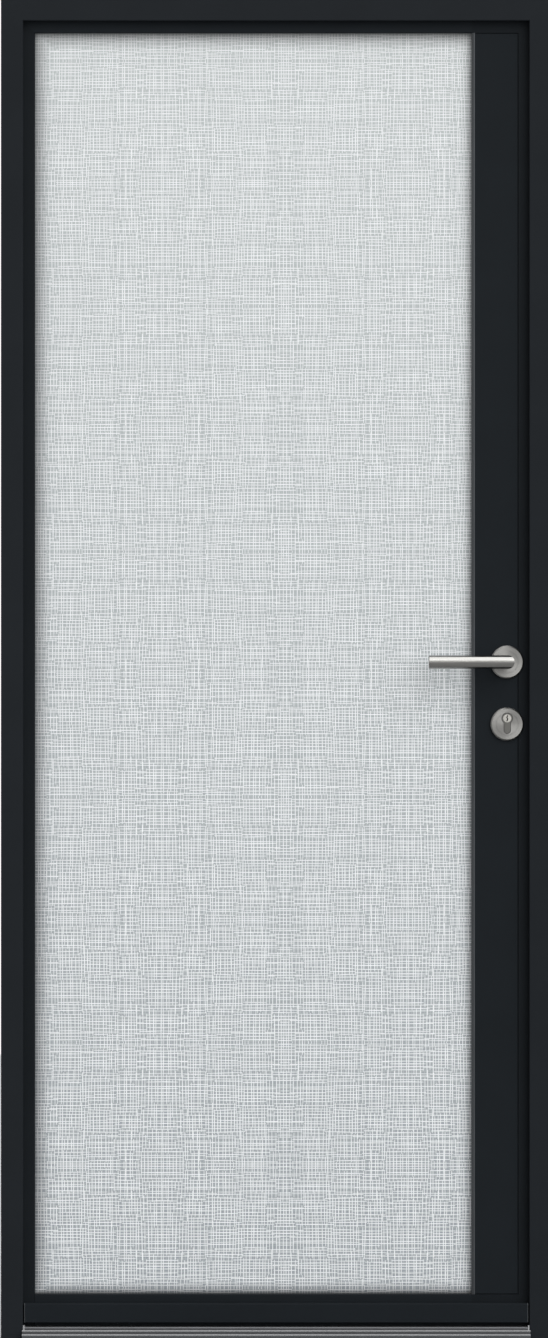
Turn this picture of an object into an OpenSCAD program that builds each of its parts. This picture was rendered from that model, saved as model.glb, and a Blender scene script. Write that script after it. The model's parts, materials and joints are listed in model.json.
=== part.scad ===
// Inward-opening exterior door in its frame: a metal leaf with one tall pane of
// patterned glass, a flush lock panel, lever furniture and a multi-point lock.
// +X runs towards the lock side, +Y into the building, +Z up.
// The origin is at the middle of the threshold's underside.

/* [Overall] */
// Width of the frame
overall_w = 900; // [800:10:1000]
// Height of the frame
overall_h = 2200; // [2050:10:2400]
// Depth of the frame from its outer to its inner face
frame_depth = 70; // [66:1:84]

/* [Frame profile] */
// Width of the frame's outer face
frame_face_w = 36; // [34:1:48]
// Width of the frame behind the stop
frame_base_w = 22; // [20:1:24]
// Depth of the stop that the leaf closes against
stop_depth = 14; // [13:1:18]
// Wall of the hollow profiles
wall = 2; // [1.6:0.2:2.6]
// Diameter of the wall fixing holes
fixing_d = 8.5; // [6.5:0.5:10.5]
// Height of the lowest wall fixing hole
fixing_z = 240; // [150:10:320]
// Distance from the frame's top to the highest wall fixing hole
fixing_drop = 250; // [200:10:320]

/* [Threshold] */
// Height of the upstand behind the weather bar
sill_h = 29; // [27:1:34]
// Height of the flat that the leaf passes over
sill_flat_h = 20; // [16:1:22]
// Reach of the stepped nose in front of the frame
sill_nose = 12; // [8:1:18]
// Height of the first step of the nose
sill_step_h = 22.5; // [20:0.5:25]
// Height of the front lip of the nose
sill_lip_h = 16.5; // [12:0.5:18]

/* [Leaf] */
// Gap between the leaf's edge and the frame
edge_gap = 5; // [4:0.5:8]
// Gap between the stop and the leaf, filled by the seal
seal_gap = 4; // [3:0.5:6]
// Height of the leaf's lower edge
leaf_bottom = 26; // [24:1:27]
// Width of the leaf's outer face beside the glass
leaf_face_w = 28; // [26:1:40]
// Top of the leaf's lower outer face
bottom_face_top = 80; // [74:1:110]
// Lap of the inner flange over the frame
flange_lap = 8; // [6:1:9]
// Thickness of the inner flange
flange_t = 7; // [5:0.5:9]
// Gap between the inner flange and the frame's inner face
flange_gap = 3; // [2.5:0.5:5]
// Gap between the edge of the glass and the rebate
glass_play = 4; // [3:0.5:6]
// Depth of the glazing rebate
rebate = 13; // [11:1:16]

/* [Glazing] */
// Thickness of each pane
pane_t = 6; // [4:1:8]
// Width of the sealed gap between the panes
pane_gap = 16; // [12:1:18]
// Thickness of the glazing seals
glazing_seal_t = 3; // [2:0.5:4]
// Thickness of the outer lip in front of the glass
lip_t = 12; // [9:1:14]

/* [Lock side] */
// Width of the lock panel
panel_w = 70; // [60:1:90]
// Width of the bright trim beside the glass
trim_w = 5; // [4:0.5:8]
// Thickness of the lock panels
panel_t = 2.5; // [2:0.5:3]
// Width of the shadow groove round the lock panel
groove_w = 1.6; // [1.2:0.2:3]
// Distance from the leaf's edge to the lever's axis
backset = 45; // [40:1:55]
// Height of the lever's axis
lever_z = 1115; // [1020:5:1150]
// Distance from the lever's axis to the cylinder's axis
lock_centres = 92; // [85:1:95]

/* [Furniture] */
// Length of the lever from its axis to its end
lever_len = 129; // [110:1:145]
// Diameter of the lever's bar
lever_d = 22; // [19:1:24]
// Distance from the leaf to the lever's bar axis
lever_reach = 48; // [42:1:60]
// Diameter of the roses
rose_d = 54; // [50:1:60]
// Thickness of the roses
rose_t = 8; // [6:1:10]
// Side of the square spindle
spindle_a = 8; // [7:1:9]

/* [Hinges] */
// Diameter of the hinge barrel
barrel_d = 18; // [16:1:22]
// Length of the hinge barrel
barrel_l = 120; // [100:5:140]
// Diameter of the hinge pin
pin_d = 10; // [8:1:11]
// Distance from the leaf's ends to the middle of the end hinges
hinge_inset = 230; // [180:10:300]

/* [Weather bar] */
// Height of the weather bar's lower edge
bar_z = 35.5; // [34:0.5:40]
// Height of the weather bar
bar_h = 31; // [26:1:40]
// Reach of the weather bar in front of the leaf
bar_reach = 18; // [12:1:19]
// Gap between the weather bar's ends and the frame
bar_gap = 3; // [2:0.5:6]

/* [Hidden] */

$fn = 64;
// Length by which a cutting body runs past what it cuts
cut = 1;
// Running clearance of pins and shafts, and play of pieces that seat flat
run_play = 0.05;
seat_play = 0.3;

// Colours
anthracite = [0.14, 0.16, 0.17];
mill_aluminium = [0.62, 0.63, 0.64];
stainless = [0.68, 0.68, 0.66];
seal_black = [0.04, 0.04, 0.04];
glass_white = [0.85, 0.87, 0.88, 0.6];
zinc_steel = [0.55, 0.56, 0.58];
lock_brass = [0.75, 0.74, 0.7];

// Frame planes
half_w = overall_w / 2;
frame_y0 = -frame_depth / 2;
frame_y1 = frame_depth / 2;
stop_y = frame_y0 + stop_depth;
open_half_w = half_w - frame_face_w;

// Leaf planes
leaf_half_w = half_w - frame_base_w - edge_gap;
leaf_top = overall_h - frame_base_w - edge_gap;
leaf_y0 = stop_y + seal_gap;
flange_y0 = frame_y1 + flange_gap;
leaf_y1 = flange_y0 + flange_t;
flange_out = edge_gap + flange_lap;

// Glazing planes
glass_y0 = leaf_y0 + lip_t + glazing_seal_t;
inner_pane_y0 = glass_y0 + pane_t + pane_gap;
glass_y1 = inner_pane_y0 + pane_t;
bead_y0 = glass_y1 + glazing_seal_t;
lip_y1 = leaf_y0 + lip_t;
sight_x0 = -leaf_half_w + leaf_face_w;
sight_top = leaf_top - leaf_face_w;
sight_bottom = bottom_face_top;
panel_x1 = leaf_half_w - leaf_face_w;
panel_x0 = panel_x1 - panel_w;
sight_x1 = panel_x0 - trim_w;
glass_x0 = sight_x0 - rebate + glass_play;
glass_x1 = sight_x1 + rebate - glass_play;
glass_z0 = sight_bottom - rebate + glass_play;
glass_z1 = sight_top + rebate - glass_play;
lock_body_x0 = sight_x1 + rebate;

// Lock places
lever_x = leaf_half_w - backset;
lock_y = (leaf_y0 + leaf_y1) / 2;
cylinder_z = lever_z - lock_centres;
faceplate_t = 3;
faceplate_w = 20;
faceplate_rise = 274;
faceplate_drop = 273;
faceplate_z0 = leaf_bottom + faceplate_rise;
faceplate_z1 = leaf_top - faceplate_drop;
faceplate_x = leaf_half_w - faceplate_t;
case_t = 16;
case_wall = 2;
case_back = 26;
case_margin = 75;
case_x0 = lever_x - case_back;
case_z0 = cylinder_z - case_margin;
case_z1 = lever_z + case_margin;
case_cavity_t = case_t - 2 * case_wall;
latch_h = 20;
latch_t = 11;
deadbolt_h = 34;
deadbolt_t = 10;
deadbolt_drop = 2;
deadbolt_z = (lever_z + cylinder_z) / 2 - deadbolt_drop;
pin_bolt_d = 12;
pin_bolt_inset = 120;
upper_bolt_z = faceplate_z1 - pin_bolt_inset;
lower_bolt_z = faceplate_z0 + pin_bolt_inset;
bolt_case_h = 60;
bolt_case_depth = 50;
follower_d = 24;

// Profile cylinder, the common section
profile_r = 8.5;
profile_tail_w = 10;
profile_h = 33;
plug_r = 6.5;
cylinder_proud = 1;
cam_r = 15;
cam_w = 10;
rose_ring_d = 36;
rose_ring_step = 1;
key_rose_drop = 1.5;
key_rose_z = cylinder_z + profile_r - profile_h / 2 - key_rose_drop;

// Hinge places
barrel_r = barrel_d / 2;
hinge_overhang = 3;
hinge_play = 1;
hinge_x = -leaf_half_w - flange_out + barrel_r - hinge_overhang;
hinge_y = leaf_y1 + barrel_r + hinge_play;
hinge_z_low = leaf_bottom + hinge_inset;
hinge_z_high = leaf_top - hinge_inset;
hinge_z_mid = (hinge_z_low + hinge_z_high) / 2;
knuckle_l = 35;
hinge_plate_t = 4;
hinge_foot_x0 = -half_w + hinge_play;
hinge_foot_x1 = -leaf_half_w - flange_out - hinge_play;

// Basic shapes

// A box between two corners.
module span(low, high) {
    translate(low) cube([high[0] - low[0], high[1] - low[1], high[2] - low[2]]);
}

// A 2-D box between two corners.
module area(low, high) {
    translate(low) square([high[0] - low[0], high[1] - low[1]]);
}

// A round bar along Y from y0 to y1.
module bar_y(x, z, r, y0, y1) {
    translate([x, y0, z]) rotate([-90, 0, 0]) cylinder(r = r, h = y1 - y0);
}

// A round bar along X from x0 to x1.
module bar_x(y, z, r, x0, x1) {
    translate([x0, y, z]) rotate([0, 90, 0]) cylinder(r = r, h = x1 - x0);
}

// Stretches an X-Z outline along Y from y0 to y1.
module along_y(y0, y1) {
    translate([0, y1, 0]) rotate([90, 0, 0]) linear_extrude(y1 - y0) children();
}

// Stretches a Y-Z outline along X from x0 to x1.
module along_x(x0, x1) {
    translate([x0, 0, 0]) rotate([90, 0, 90]) linear_extrude(x1 - x0) children();
}

// Frame

edge_bevel = 1;
seal_groove_w = 5;
seal_groove_depth = 3;
seal_edge = 1;
seal_u = frame_face_w - seal_groove_w / 2 - seal_edge;
thermal_break_w = 16;

// Section of a frame bar: u runs inwards from the bar's outer edge, y through the wall.
module frame_section() {
    split_y = (stop_y + frame_y1) / 2;
    difference() {
        polygon([
            [0, frame_y0], [frame_face_w - edge_bevel, frame_y0],
            [frame_face_w, frame_y0 + edge_bevel], [frame_face_w, stop_y],
            [frame_base_w, stop_y], [frame_base_w, frame_y1 - edge_bevel],
            [frame_base_w - edge_bevel, frame_y1], [0, frame_y1]
        ]);
        area([wall, frame_y0 + wall],
             [frame_face_w - wall, stop_y - seal_groove_depth - wall]);
        area([wall, stop_y], [frame_base_w - wall, split_y - thermal_break_w / 2]);
        area([wall, split_y - thermal_break_w / 2 + wall],
             [frame_base_w - wall, split_y + thermal_break_w / 2 - wall]);
        area([wall, split_y + thermal_break_w / 2], [frame_base_w - wall, frame_y1 - wall]);
        area([seal_u - seal_groove_w / 2, stop_y - seal_groove_depth],
             [seal_u + seal_groove_w / 2, stop_y + cut]);
    }
}

// Outline that keeps one upright of a frame or leaf, mitred at its top.
module upright_outline(outer_x, inner_x, bottom, top) {
    polygon([[outer_x, bottom], [inner_x, bottom], [inner_x, top - abs(inner_x - outer_x)],
             [outer_x, top]]);
}

fixing_y = (stop_y + frame_y1) / 2;
fixing_count = 4;
fixing_pitch = (overall_h - fixing_drop - fixing_z) / (fixing_count - 1);

// One upright of the frame, on the hinge side.
module jamb() {
    difference() {
        intersection() {
            translate([-half_w, 0, 0]) linear_extrude(overall_h) frame_section();
            along_y(frame_y0 - cut, frame_y1 + cut)
                upright_outline(-half_w, -half_w + frame_face_w, 0, overall_h);
        }
        for (i = [0 : fixing_count - 1])
            bar_x(fixing_y, fixing_z + i * fixing_pitch, fixing_d / 2,
                  -half_w - cut, -half_w + frame_base_w + cut);
    }
}

keep_t = 2;
keep_w = 24;
keep_play = 2.5;

strike_foot = 5;
strike_rise = 45;

// Low and high end of the strike plate.
strike_span = [cylinder_z + strike_foot, lever_z + strike_rise];
pin_keep_half_h = 30;

module keep_cutout(low, high) {
    span([half_w - frame_base_w - cut, lock_y - keep_w / 2, low],
         [half_w - frame_base_w + keep_t, lock_y + keep_w / 2, high]);
    span([half_w - frame_base_w - cut, lock_y - keep_w / 2 + wall, low + wall],
         [half_w - wall, lock_y + keep_w / 2 - wall, high - wall]);
}

module hinge_jamb() {
    color(anthracite) jamb();
}

module lock_jamb() {
    color(anthracite) difference() {
        mirror([1, 0, 0]) jamb();
        keep_cutout(strike_span[0], strike_span[1]);
        for (z = [upper_bolt_z, lower_bolt_z])
            keep_cutout(z - pin_keep_half_h, z + pin_keep_half_h);
    }
}

module head() {
    color(anthracite) intersection() {
        translate([-half_w, 0, overall_h]) rotate([0, 90, 0]) linear_extrude(overall_w) frame_section();
        along_y(frame_y0 - cut, frame_y1 + cut)
            polygon([[-half_w, overall_h], [half_w, overall_h],
                     [half_w - frame_face_w, overall_h - frame_face_w],
                     [-half_w + frame_face_w, overall_h - frame_face_w]]);
    }
}

// Section of a stop seal: a foot in the groove and a hollow-nosed lip towards the leaf.
module seal_section() {
    foot_w = seal_groove_w - 2 * run_play;
    lip_y = leaf_y0 - seat_play;
    polygon([
        [seal_u - foot_w / 2, stop_y - seal_groove_depth + run_play],
        [seal_u + foot_w / 2, stop_y - seal_groove_depth + run_play],
        [seal_u + foot_w / 2, stop_y + 1], [seal_u + 1, lip_y], [seal_u - 1, lip_y],
        [seal_u - foot_w / 2, stop_y + 1]
    ]);
}

module jamb_seal() {
    intersection() {
        translate([-half_w, 0, 0]) linear_extrude(overall_h) seal_section();
        along_y(frame_y0, frame_y1)
            upright_outline(-half_w, -half_w + frame_face_w, sill_h + seat_play, overall_h);
    }
}

module hinge_jamb_seal() {
    color(seal_black) jamb_seal();
}

module lock_jamb_seal() {
    color(seal_black) mirror([1, 0, 0]) jamb_seal();
}

module head_seal() {
    color(seal_black) intersection() {
        translate([-half_w, 0, overall_h]) rotate([0, 90, 0]) linear_extrude(overall_w) seal_section();
        along_y(frame_y0, frame_y1)
            polygon([[-half_w, overall_h], [half_w, overall_h],
                     [half_w - frame_face_w, overall_h - frame_face_w],
                     [-half_w + frame_face_w, overall_h - frame_face_w]]);
    }
}

// Threshold

sill_front_y = frame_y0 - sill_nose;
sill_step_y = frame_y0 - sill_nose / 3;
upstand_setback = 4;
upstand_y0 = frame_y0 + upstand_setback;
step_bevel = 1.5;
cap_t = 2.5;
cap_rise = 1.5;
lip_lap = 1.6;

// Section of the threshold: stepped nose, upstand and the flat under the leaf.
module sill_section() {
    web_y = (stop_y + frame_y1) / 2;
    difference() {
        polygon([
            [sill_front_y, 0], [frame_y1, 0], [frame_y1, sill_flat_h - step_bevel],
            [frame_y1 - step_bevel, sill_flat_h], [stop_y, sill_flat_h], [stop_y, sill_h],
            [upstand_y0 + step_bevel, sill_h], [upstand_y0, sill_h - step_bevel],
            [upstand_y0, sill_step_h], [sill_step_y + step_bevel, sill_step_h],
            [sill_step_y, sill_step_h - step_bevel], [sill_step_y, sill_lip_h],
            [sill_front_y + step_bevel, sill_lip_h], [sill_front_y, sill_lip_h - step_bevel]
        ]);
        area([sill_front_y + wall, -cut], [sill_step_y, sill_lip_h - 2 * wall]);
        area([upstand_y0 + wall, wall], [stop_y - wall, sill_h - wall]);
        area([stop_y, wall], [web_y - wall / 2, sill_flat_h - wall]);
        area([web_y + wall / 2, wall], [frame_y1 - wall, sill_flat_h - wall]);
    }
}

module threshold() {
    color(mill_aluminium) intersection() {
        along_x(-half_w, half_w) sill_section();
        union() {
            span([-open_half_w - lip_lap, sill_front_y - cut, -cut],
                 [open_half_w + lip_lap, frame_y0, overall_h]);
            span([-open_half_w + cap_t, frame_y0 - cut, -cut],
                 [open_half_w - cap_t, stop_y, overall_h]);
            span([-half_w + frame_base_w, stop_y, -cut],
                 [half_w - frame_base_w, frame_y1, overall_h]);
        }
    }
}

// Plates that close the ends of the stepped nose.
module threshold_caps() {
    color(mill_aluminium) for (side = [0, 1]) mirror([side, 0, 0])
        span([open_half_w - cap_t, frame_y0, 0], [open_half_w, stop_y, sill_h + cap_rise]);
}

// Rubber strip on the upstand that the leaf's foot closes against.
module sill_seal() {
    seal_lip_t = 1;
    color(seal_black) along_x(-open_half_w + cap_t, open_half_w - cap_t)
        polygon([[stop_y, sill_flat_h], [stop_y, sill_h - seal_lip_t],
                 [leaf_y0 - seat_play, sill_h - 2 * seal_lip_t],
                 [leaf_y0 - seat_play, sill_h - 3 * seal_lip_t]]);
}

// Keeps in the lock jamb

keep_x0 = half_w - frame_base_w;

// A keep plate with its countersunk screw holes left as plain seats.
module keep_plate(low, high) {
    difference() {
        span([keep_x0, lock_y - keep_w / 2 + run_play, low + run_play],
             [keep_x0 + keep_t, lock_y + keep_w / 2 - run_play, high - run_play]);
        children();
    }
}

module strike_plate() {
    color(zinc_steel) keep_plate(strike_span[0], strike_span[1]) {
        union() {
            span([keep_x0 - cut, lock_y - latch_t / 2 - keep_play, lever_z - latch_h / 2 - keep_play],
                 [half_w, lock_y + latch_t / 2 + keep_play, lever_z + latch_h / 2 + keep_play]);
            span([keep_x0 - cut, lock_y - deadbolt_t / 2 - keep_play,
                  deadbolt_z - deadbolt_h / 2 - keep_play],
                 [half_w, lock_y + deadbolt_t / 2 + keep_play,
                  deadbolt_z + deadbolt_h / 2 + keep_play]);
        }
    }
}

// A keep with a square slot for one locking pin.
module pin_keep(z) {
    slot = pin_bolt_d / 2 + keep_play;
    color(zinc_steel) keep_plate(z - pin_keep_half_h, z + pin_keep_half_h)
        span([keep_x0 - cut, lock_y - slot, z - slot], [half_w, lock_y + slot, z + slot]);
}

module upper_keep() {
    pin_keep(upper_bolt_z);
}

module lower_keep() {
    pin_keep(lower_bolt_z);
}

// Hinges

module hinge_bore(z) {
    translate([hinge_x, hinge_y, z - barrel_l / 2 - cut])
        cylinder(r = pin_d / 2 + run_play, h = barrel_l + 2 * cut);
}

module knuckle(low, high) {
    translate([hinge_x, hinge_y, low]) cylinder(r = barrel_r, h = high - low);
}

// Plan of the arm that carries the frame's knuckles, clear of the leaf's flange.
module frame_arm_plan() {
    polygon([[hinge_foot_x0, frame_y1], [hinge_foot_x1, frame_y1],
             [hinge_foot_x1, leaf_y1 + hinge_play], [hinge_x, leaf_y1 + 2 * hinge_play],
             [hinge_x, hinge_y], [hinge_x - barrel_r + hinge_play, hinge_y],
             [hinge_foot_x0, frame_y1 + hinge_plate_t]]);
}

// The half of a hinge on the frame: a screwed plate with a knuckle at each end.
module hinge_frame_half(z) {
    color(anthracite) difference() {
        union() {
            for (side = [-1, 1]) {
                low = side < 0 ? z - barrel_l / 2 : z + barrel_l / 2 - knuckle_l;
                knuckle(low, low + knuckle_l);
                translate([0, 0, low]) linear_extrude(knuckle_l) frame_arm_plan();
            }
            span([hinge_foot_x0, frame_y1, z - barrel_l / 2],
                 [hinge_foot_x1, frame_y1 + hinge_plate_t, z + barrel_l / 2]);
        }
        hinge_bore(z);
    }
}

stile_body_x1 = -leaf_half_w + leaf_face_w - rebate;

// The half of a hinge on the leaf: a plate with the middle knuckle.
module hinge_leaf_half(z) {
    low = z - barrel_l / 2 + knuckle_l + seat_play;
    high = z + barrel_l / 2 - knuckle_l - seat_play;
    plate_x0 = hinge_x + barrel_r;
    color(anthracite) difference() {
        union() {
            knuckle(low, high);
            translate([0, 0, low]) linear_extrude(high - low)
                polygon([[hinge_x, leaf_y1 + 2 * hinge_play], [plate_x0, leaf_y1],
                         [plate_x0 + hinge_plate_t, leaf_y1],
                         [plate_x0 + hinge_plate_t, leaf_y1 + hinge_plate_t],
                         [hinge_x, hinge_y]]);
            span([plate_x0, leaf_y1, low],
                 [stile_body_x1 - hinge_play, leaf_y1 + hinge_plate_t, high]);
        }
        hinge_bore(z);
    }
}

// A headed pin that joins the knuckles of one hinge.
module hinge_pin(z) {
    head_h = 3;
    color(anthracite) translate([hinge_x, hinge_y, z]) union() {
        translate([0, 0, -barrel_l / 2]) cylinder(r = pin_d / 2, h = barrel_l + head_h);
        translate([0, 0, barrel_l / 2]) cylinder(r = barrel_r, h = head_h);
        translate([0, 0, -barrel_l / 2 - head_h]) cylinder(r = barrel_r, h = head_h);
    }
}

// Leaf frame

// Section of a leaf bar: s runs inwards from the leaf's edge, y through the wall.
module leaf_section(face_w) {
    body_w = face_w - rebate;
    mid_y = (lip_y1 + flange_y0) / 2;
    difference() {
        polygon([
            [edge_bevel, leaf_y0], [face_w - edge_bevel, leaf_y0], [face_w, leaf_y0 + edge_bevel],
            [face_w, lip_y1], [body_w, lip_y1], [body_w, leaf_y1],
            [-flange_out + edge_bevel, leaf_y1], [-flange_out, leaf_y1 - edge_bevel],
            [-flange_out, flange_y0], [0, flange_y0], [0, leaf_y0 + edge_bevel]
        ]);
        area([wall, leaf_y0 + wall], [face_w - wall, lip_y1 - wall]);
        area([wall, lip_y1], [body_w - wall, mid_y - thermal_break_w / 2]);
        area([wall, mid_y - thermal_break_w / 2 + wall],
             [body_w - wall, mid_y + thermal_break_w / 2 - wall]);
        area([wall, mid_y + thermal_break_w / 2], [body_w - wall, leaf_y1 - wall]);
    }
}

module hinge_stile() {
    color(anthracite) intersection() {
        translate([-leaf_half_w, 0, leaf_bottom])
            linear_extrude(leaf_top + flange_out - leaf_bottom) leaf_section(leaf_face_w);
        along_y(leaf_y0 - cut, leaf_y1 + cut)
            upright_outline(-leaf_half_w - flange_out, sight_x0, leaf_bottom, leaf_top + flange_out);
    }
}

module top_rail() {
    color(anthracite) intersection() {
        translate([-leaf_half_w - flange_out, 0, leaf_top]) rotate([0, 90, 0])
            linear_extrude(sight_x1 + leaf_half_w + flange_out) leaf_section(leaf_face_w);
        along_y(leaf_y0 - cut, leaf_y1 + cut)
            polygon([[-leaf_half_w - flange_out, leaf_top + flange_out],
                     [sight_x1, leaf_top + flange_out], [sight_x1, sight_top],
                     [sight_x0, sight_top]]);
    }
}

rail_body_top = sight_bottom - rebate;

// Section of the bottom rail, in Y and Z, with no flange below.
module bottom_rail_section() {
    mid_y = (lip_y1 + flange_y0) / 2;
    difference() {
        polygon([
            [leaf_y0, leaf_bottom], [leaf_y1, leaf_bottom], [leaf_y1, rail_body_top],
            [lip_y1, rail_body_top], [lip_y1, sight_bottom],
            [leaf_y0 + edge_bevel, sight_bottom], [leaf_y0, sight_bottom - edge_bevel]
        ]);
        area([leaf_y0 + wall, leaf_bottom + wall], [lip_y1 - wall, sight_bottom - wall]);
        area([lip_y1, leaf_bottom + wall], [mid_y - thermal_break_w / 2, rail_body_top - wall]);
        area([mid_y + thermal_break_w / 2, leaf_bottom + wall],
             [leaf_y1 - wall, rail_body_top - wall]);
    }
}

module bottom_rail() {
    color(anthracite) difference() {
        along_x(stile_body_x1, lock_body_x0) bottom_rail_section();
        for (x = [stile_body_x1 - cut, sight_x1])
            span([x, leaf_y0 - cut, leaf_bottom - cut],
                 [x + rebate + cut, lip_y1, sight_bottom + cut]);
    }
}

panel_z0 = sight_bottom + groove_w;
panel_z1 = sight_top - groove_w;
lock_wall = 2.5;
trim_t = 5;
lever_hole_d = lever_d + 4;

// The keyway section of a profile cylinder, grown by a clearance, in X and Z.
module profile_outline(grow) {
    tail_r = profile_tail_w / 2;
    tail_z = cylinder_z + profile_r - profile_h + tail_r;
    translate([lever_x, cylinder_z]) circle(r = profile_r + grow);
    area([lever_x - tail_r - grow, tail_z], [lever_x + tail_r + grow, cylinder_z]);
    translate([lever_x, tail_z]) circle(r = tail_r + grow);
}

profile_play = 0.4;
rose_play = 0.8;

// Holes for the spindle and the cylinder through the leaf, from y0 to y1.
module lock_holes(y0, y1) {
    bar_y(lever_x, lever_z, lever_hole_d / 2, y0, y1);
    along_y(y0, y1) profile_outline(profile_play);
}

// The wide hollow upright that takes the lock, with seats for the two lock panels.
module lock_stile() {
    edge_x = leaf_half_w + flange_out;
    groove_x1 = panel_x1 + groove_w;
    color(anthracite) difference() {
        union() {
            span([lock_body_x0, leaf_y0, leaf_bottom], [leaf_half_w, leaf_y1, leaf_top]);
            span([sight_x1, leaf_y0, leaf_bottom], [lock_body_x0, lip_y1, leaf_top]);
            span([sight_x1, flange_y0, leaf_top], [edge_x, leaf_y1, leaf_top + flange_out]);
            span([leaf_half_w, flange_y0, leaf_bottom], [edge_x, leaf_y1, leaf_top]);
            span([sight_x1, lip_y1, sight_top + rebate], [lock_body_x0, leaf_y1, leaf_top]);
        }
        span([lock_body_x0 + lock_wall, leaf_y0 + trim_t + lock_wall, leaf_bottom + wall],
             [faceplate_x - wall, leaf_y1 - panel_t - lock_wall, leaf_top - wall]);
        span([panel_x0, leaf_y0 - cut, sight_bottom], [groove_x1, leaf_y0 + panel_t, sight_top]);
        span([sight_x1 - cut, leaf_y0 - cut, sight_bottom], [panel_x0, leaf_y0 + trim_t, sight_top]);
        span([lock_body_x0 - cut, leaf_y1 - panel_t, sight_bottom],
             [groove_x1, leaf_y1 + cut, sight_top]);
        span([faceplate_x, lock_y - faceplate_w / 2, faceplate_z0],
             [leaf_half_w + cut, lock_y + faceplate_w / 2, faceplate_z1]);
        span([faceplate_x - wall - cut, lock_y - case_t / 2, faceplate_z0 + wall],
             [leaf_half_w, lock_y + case_t / 2, faceplate_z1 - wall]);
        lock_holes(leaf_y0 - cut, leaf_y1 + cut);
    }
}

// Flush cover over the lock stile, outside, with a shadow groove round it.
module outer_lock_panel() {
    color(anthracite) difference() {
        span([panel_x0, leaf_y0, panel_z0], [panel_x1, leaf_y0 + panel_t, panel_z1]);
        lock_holes(leaf_y0 - cut, leaf_y0 + panel_t + cut);
    }
}

module inner_lock_panel() {
    color(anthracite) difference() {
        span([lock_body_x0, leaf_y1 - panel_t, panel_z0], [panel_x1, leaf_y1, panel_z1]);
        lock_holes(leaf_y1 - panel_t - cut, leaf_y1 + cut);
    }
}

// Bright bevelled strip between the glass and the lock panel.
module glass_edge_trim() {
    edge_t = 2;
    color(mill_aluminium) translate([0, 0, sight_bottom]) linear_extrude(sight_top - sight_bottom)
        polygon([[sight_x1, leaf_y0 + trim_t], [panel_x0, leaf_y0 + trim_t], [panel_x0, leaf_y0],
                 [panel_x0 - edge_bevel, leaf_y0], [sight_x1, leaf_y0 + trim_t - edge_t]]);
}

// Weather bar across the foot of the leaf, with a drip groove below.
module weather_bar() {
    bar_front = leaf_y0 - bar_reach;
    bar_top = bar_z + bar_h;
    drip = 3;
    color(anthracite) along_x(-open_half_w + bar_gap, open_half_w - bar_gap) polygon([
        [leaf_y0, bar_z], [leaf_y0 - drip, bar_z], [leaf_y0 - drip, bar_z + drip],
        [bar_front + 2 * drip, bar_z + drip], [bar_front + 2 * drip, bar_z],
        [bar_front, bar_z], [bar_front, bar_top - 2 * edge_bevel],
        [bar_front + 2 * edge_bevel, bar_top], [leaf_y0, bar_top]
    ]);
}

// Finned rubber strip under the leaf.
module bottom_seal() {
    fin_t = 2;
    fin_pitch = 9;
    foot_h = 2;
    foot_w = 24;
    end_gap = 2;
    color(seal_black) along_x(-leaf_half_w + end_gap, leaf_half_w - end_gap) union() {
        area([lock_y - foot_w / 2, leaf_bottom - foot_h], [lock_y + foot_w / 2, leaf_bottom]);
        for (i = [-1 : 1])
            area([lock_y + fin_pitch * i - fin_t / 2, sill_flat_h + seat_play],
                 [lock_y + fin_pitch * i + fin_t / 2, leaf_bottom - foot_h]);
    }
}

// Glazing

// A flat ring in X and Z that follows the glass edge, between two insets, from y0 to y1.
module glass_ring(outer_inset, inner_inset, y0, y1) {
    difference() {
        span([glass_x0 + outer_inset, y0, glass_z0 + outer_inset],
             [glass_x1 - outer_inset, y1, glass_z1 - outer_inset]);
        span([glass_x0 + inner_inset, y0 - cut, glass_z0 + inner_inset],
             [glass_x1 - inner_inset, y1 + cut, glass_z1 - inner_inset]);
    }
}

glass_cover = rebate - glass_play;
spacer_inset = 2;
spacer_w = 6;

module outer_pane() {
    color(glass_white)
        span([glass_x0, glass_y0, glass_z0], [glass_x1, glass_y0 + pane_t, glass_z1]);
}

module inner_pane() {
    color(glass_white)
        span([glass_x0, inner_pane_y0, glass_z0], [glass_x1, glass_y1, glass_z1]);
}

module spacer_bar() {
    color(mill_aluminium)
        glass_ring(spacer_inset, spacer_inset + spacer_w, glass_y0 + pane_t, inner_pane_y0);
}

module outer_glazing_seal() {
    color(seal_black) glass_ring(0, glass_cover, lip_y1, glass_y0);
}

module inner_glazing_seal() {
    color(seal_black) glass_ring(0, glass_cover, glass_y1, bead_y0);
}

// Two hard blocks that carry the weight of the glass on the bottom rail.
module setting_blocks() {
    block_l = 100;
    color(seal_black) for (share = [0.2, 0.8]) {
        mid_x = glass_x0 + share * (glass_x1 - glass_x0);
        span([mid_x - block_l / 2, glass_y0, rail_body_top],
             [mid_x + block_l / 2, glass_y1, glass_z0]);
    }
}

bead_bevel = 4;

// Section of a glazing bead: t runs from its back towards the glass opening.
module bead_section() {
    polygon([[0, bead_y0], [rebate, bead_y0], [rebate, leaf_y1 - bead_bevel],
             [rebate - bead_bevel, leaf_y1], [0, leaf_y1]]);
}

module hinge_side_bead() {
    color(anthracite) translate([stile_body_x1, 0, rail_body_top])
        linear_extrude(sight_top + rebate - rail_body_top) bead_section();
}

module lock_side_bead() {
    color(anthracite) translate([lock_body_x0, 0, rail_body_top]) mirror([1, 0, 0])
        linear_extrude(sight_top + rebate - rail_body_top) bead_section();
}

module top_bead() {
    color(anthracite) translate([sight_x0, 0, sight_top + rebate]) rotate([0, 90, 0])
        linear_extrude(sight_x1 - sight_x0) bead_section();
}

module bottom_bead() {
    color(anthracite) translate([sight_x1, 0, rail_body_top]) rotate([0, -90, 0])
        linear_extrude(sight_x1 - sight_x0) bead_section();
}

// Lock

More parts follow.
